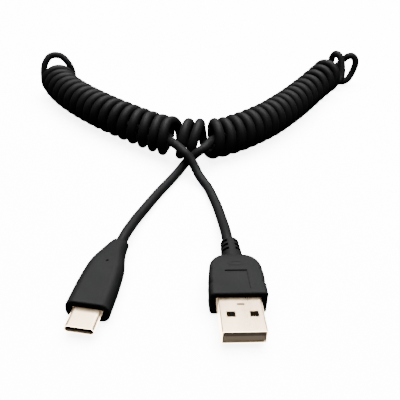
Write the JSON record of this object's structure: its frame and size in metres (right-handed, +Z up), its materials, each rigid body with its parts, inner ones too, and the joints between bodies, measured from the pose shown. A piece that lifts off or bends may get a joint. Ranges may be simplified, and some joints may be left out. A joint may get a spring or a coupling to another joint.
{
  "type": "coiled usb cable",
  "caption": "Coiled charging cable lying flat: a wound cord folded back through its own bore, a USB-A plug on one free lead and a USB-C plug on the other.",
  "frame": {"origin": "centre of the whole cable's box in plan, on the floor it lies on", "axes": "+Z up; -Y towards the two plugs, whose mouths face that way; +X to the side of the USB-A plug"},
  "size_m": [0.1634, 0.197, 0.0212],
  "materials": {
    "black_plastic": "matte",
    "cord_jacket": "matte",
    "plated_steel": "satin",
    "gold_contact": "satin",
    "insert_plastic": "matte",
    "dark_insert": "matte"
  },
  "bodies": {
    "root": {"usb_a_body": "black_plastic", "usb_a_shell": "plated_steel", "usb_a_tongue": "insert_plastic", "usb_a_contact_1": "gold_contact", "usb_a_contact_2": "gold_contact", "usb_a_contact_3": "gold_contact", "usb_a_contact_4": "gold_contact", "usb_c_body": "black_plastic", "usb_c_shell": "plated_steel", "usb_c_insulator": "dark_insert", "coil_left": "cord_jacket", "coil_middle": "cord_jacket", "coil_right": "cord_jacket", "lead_a": "cord_jacket", "lead_c": "cord_jacket", "loop_left": "cord_jacket", "loop_right": "cord_jacket"}
  },
  "joints": []
}
